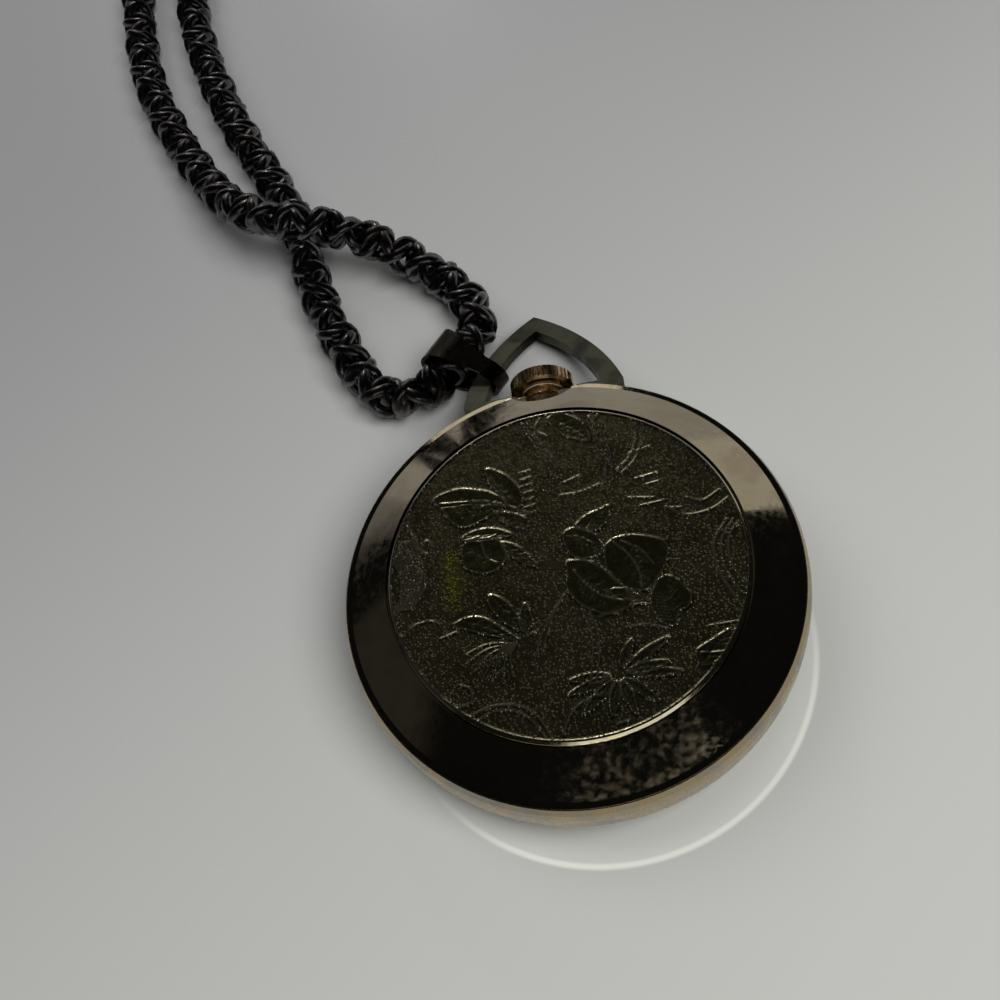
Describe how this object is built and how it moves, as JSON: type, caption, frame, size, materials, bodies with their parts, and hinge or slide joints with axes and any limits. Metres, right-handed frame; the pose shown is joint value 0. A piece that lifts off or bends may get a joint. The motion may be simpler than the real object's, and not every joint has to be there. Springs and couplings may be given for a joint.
{
  "type": "pendant watch",
  "caption": "Round mechanical pendant watch lying dial down: floral engraved back in a bevelled frame, fluted crown, pointed flat bow, bail and twisted rope neck chain",
  "frame": {"origin": "centre of the outer face of the crystal, on which the watch lies", "axes": "+Z from the dial to the engraved back, which faces up; +Y from the centre to twelve o'clock, the crown and the bow; +X completes the frame, to nine o'clock as the dial is read"},
  "size_m": [0.0636, 0.1743, 0.0099],
  "materials": {
    "case_gold": "fine brushed",
    "back_polish": "mirror polished",
    "disc_brass": "stippled, darkened",
    "crown_copper": "polished, fluted",
    "bow_steel": "satin",
    "pin_steel": "polished",
    "bail_steel": "satin, darkened",
    "chain_gunmetal": "polished, blackened",
    "crystal": "clear",
    "gasket": "satin",
    "dial": "cream enamel",
    "markers": "polished",
    "hands": "blued",
    "plate": "nickel plated, grained",
    "wheel_brass": "grained",
    "steel": "polished",
    "ruby": "polished",
    "spring_steel": "fine",
    "ring_plastic": "turned"
  },
  "bodies": {
    "bow_and_chain": {"bow": "bow_steel", "bow_pins": "pin_steel", "bail": "bail_steel", "chain_strand_over": "chain_gunmetal", "chain_coil": "chain_gunmetal", "chain_strand_under": "chain_gunmetal", "clasp_hook": "chain_gunmetal", "end_ring": "chain_gunmetal"},
    "case": {"case_band": "case_gold", "pendant_neck": "crown_copper", "front_bezel": "case_gold", "crystal": "crystal", "crystal_gasket": "gasket", "movement_ring": "ring_plastic", "dial": "dial", "hour_markers": "markers", "mainplate": "plate", "barrel_bridge": "plate", "train_bridge": "plate", "balance_cock": "plate", "pallet_bridge": "plate", "bridge_screws": "steel", "case_screws": "steel", "jewels": "ruby", "hairspring": "spring_steel", "hairspring_stud": "steel", "crown_wheel_screw": "steel", "click_screw": "steel", "click_spring": "steel"},
    "back": {"back_cover": "back_polish", "engraved_disc": "disc_brass"},
    "winding": {"winding_pinion": "steel"},
    "crown_and_stem": {"crown": "crown_copper", "winding_stem": "steel", "crown_gasket": "gasket"},
    "sliding": {"sliding_pinion": "steel"},
    "crown_gear": {"crown_wheel": "steel"},
    "ratchet": {"ratchet_wheel": "steel", "ratchet_screw": "steel", "barrel_arbor": "steel"},
    "click": {"click": "steel"},
    "setting_lever": {"setting_lever": "steel"},
    "yoke": {"yoke": "steel"},
    "minute": {"cannon_pinion": "steel", "minute_hand": "hands"},
    "minute_gear": {"minute_wheel": "wheel_brass"},
    "hour": {"hour_wheel": "wheel_brass", "hour_hand": "hands"},
    "setting_gear": {"setting_wheel": "steel"},
    "barrel": {"barrel_drum": "wheel_brass", "barrel_cover": "wheel_brass", "mainspring": "spring_steel"},
    "centre": {"centre_wheel": "wheel_brass"},
    "third": {"third_wheel": "wheel_brass"},
    "fourth": {"fourth_wheel": "wheel_brass"},
    "escape": {"escape_wheel": "steel"},
    "pallets": {"pallet_fork": "steel"},
    "balance": {"balance_wheel": "wheel_brass", "balance_staff": "steel"},
    "regulator": {"regulator": "steel"}
  },
  "joints": [
    {"name": "case_lift", "type": "hinge", "parent": "bow_and_chain", "child": "case", "pos_m": [0, 0.01892, 0.00465], "axis": [-1, 0, 0], "range_deg": [0, 90]},
    {"name": "back_off", "type": "slide", "parent": "case", "child": "back", "axis": [0, 0, 1], "range_m": [0, 0.012]},
    {"name": "crown_turn", "type": "hinge", "parent": "case", "child": "winding", "pos_m": [0, 0.0112, 0.00465], "axis": [0, 1, 0], "continuous": true},
    {"name": "crown_pull", "type": "slide", "parent": "winding", "child": "crown_and_stem", "axis": [0, 1, 0], "range_m": [0, 0.0009]},
    {"name": "sliding_pinion_shift", "type": "slide", "parent": "winding", "child": "sliding", "axis": [0, 1, 0], "range_m": [-0.0009, 0]},
    {"name": "crown_wheel_turn", "type": "hinge", "parent": "case", "child": "crown_gear", "pos_m": [0, 0.00821, 0.0065], "axis": [0, 0, 1], "continuous": true},
    {"name": "ratchet_turn", "type": "hinge", "parent": "case", "child": "ratchet", "pos_m": [-0.00546, 0.00315, 0.0065], "axis": [0, 0, 1], "continuous": true},
    {"name": "click_lift", "type": "hinge", "parent": "case", "child": "click", "pos_m": [-0.00855, 0.00811, 0.0065], "axis": [0, 0, 1], "range_deg": [0, 10]},
    {"name": "setting_lever_turn", "type": "hinge", "parent": "case", "child": "setting_lever", "pos_m": [0.0034, 0.0113, 0.0029], "axis": [0, 0, 1], "range_deg": [-16.2, 0]},
    {"name": "yoke_turn", "type": "hinge", "parent": "case", "child": "yoke", "pos_m": [-0.0033, 0.0099, 0.0029], "axis": [0, 0, 1], "range_deg": [-16.2, 0]},
    {"name": "hands_turn", "type": "hinge", "parent": "case", "child": "minute", "pos_m": [0, 0, 0.002], "axis": [0, 0, 1], "continuous": true},
    {"name": "minute_wheel_turn", "type": "hinge", "parent": "case", "child": "minute_gear", "pos_m": [0.00168, 0.00291, 0.0031], "axis": [0, 0, 1], "continuous": true},
    {"name": "hour_turn", "type": "hinge", "parent": "case", "child": "hour", "pos_m": [0, 0, 0.0025], "axis": [0, 0, 1], "continuous": true},
    {"name": "setting_wheel_turn", "type": "hinge", "parent": "case", "child": "setting_gear", "pos_m": [0.00136, 0.00654, 0.0031], "axis": [0, 0, 1], "continuous": true},
    {"name": "barrel_turn", "type": "hinge", "parent": "case", "child": "barrel", "pos_m": [-0.00546, 0.00315, 0.0046], "axis": [0, 0, 1], "continuous": true},
    {"name": "centre_turn", "type": "hinge", "parent": "case", "child": "centre", "pos_m": [0, 0, 0.005], "axis": [0, 0, 1], "continuous": true},
    {"name": "third_turn", "type": "hinge", "parent": "case", "child": "third", "pos_m": [0.0044, -0.0016, 0.0046], "axis": [0, 0, 1], "continuous": true},
    {"name": "fourth_turn", "type": "hinge", "parent": "case", "child": "fourth", "pos_m": [0.003, -0.00507, 0.0048], "axis": [0, 0, 1], "continuous": true},
    {"name": "escape_turn", "type": "hinge", "parent": "case", "child": "escape", "pos_m": [0, -0.0068, 0.0046], "axis": [0, 0, 1], "continuous": true},
    {"name": "pallet_rock", "type": "hinge", "parent": "case", "child": "pallets", "pos_m": [-0.00305, -0.0068, 0.0044], "axis": [0, 0, 1], "range_deg": [-4.2, 4.2]},
    {"name": "balance_swing", "type": "hinge", "parent": "case", "child": "balance", "pos_m": [-0.0051, -0.0068, 0.0054], "axis": [0, 0, 1], "range_deg": [-270, 270]},
    {"name": "regulator_turn", "type": "hinge", "parent": "case", "child": "regulator", "pos_m": [-0.0051, -0.0068, 0.0068], "axis": [0, 0, 1], "range_deg": [-12, 12]}
  ],
  "couplings": [
    {"joint": "sliding_pinion_shift", "follows": "crown_pull", "ratio": -1},
    {"joint": "setting_lever_turn", "follows": "crown_pull", "rad_per_m": -310},
    {"joint": "yoke_turn", "follows": "crown_pull", "rad_per_m": -310},
    {"joint": "crown_wheel_turn", "follows": "crown_turn", "ratio": -0.46154},
    {"joint": "ratchet_turn", "follows": "crown_turn", "ratio": 0.33333},
    {"joint": "minute_wheel_turn", "follows": "hands_turn", "ratio": -0.33333},
    {"joint": "hour_turn", "follows": "hands_turn", "ratio": 0.083333},
    {"joint": "setting_wheel_turn", "follows": "hands_turn", "ratio": 0.75},
    {"joint": "third_turn", "follows": "fourth_turn", "ratio": -0.13333},
    {"joint": "centre_turn", "follows": "fourth_turn", "ratio": 0.016667},
    {"joint": "barrel_turn", "follows": "fourth_turn", "ratio": -0.0027778},
    {"joint": "escape_turn", "follows": "fourth_turn", "ratio": -10},
    {"joint": "pallet_rock", "follows": "balance_swing", "ratio": 0.014815}
  ]
}
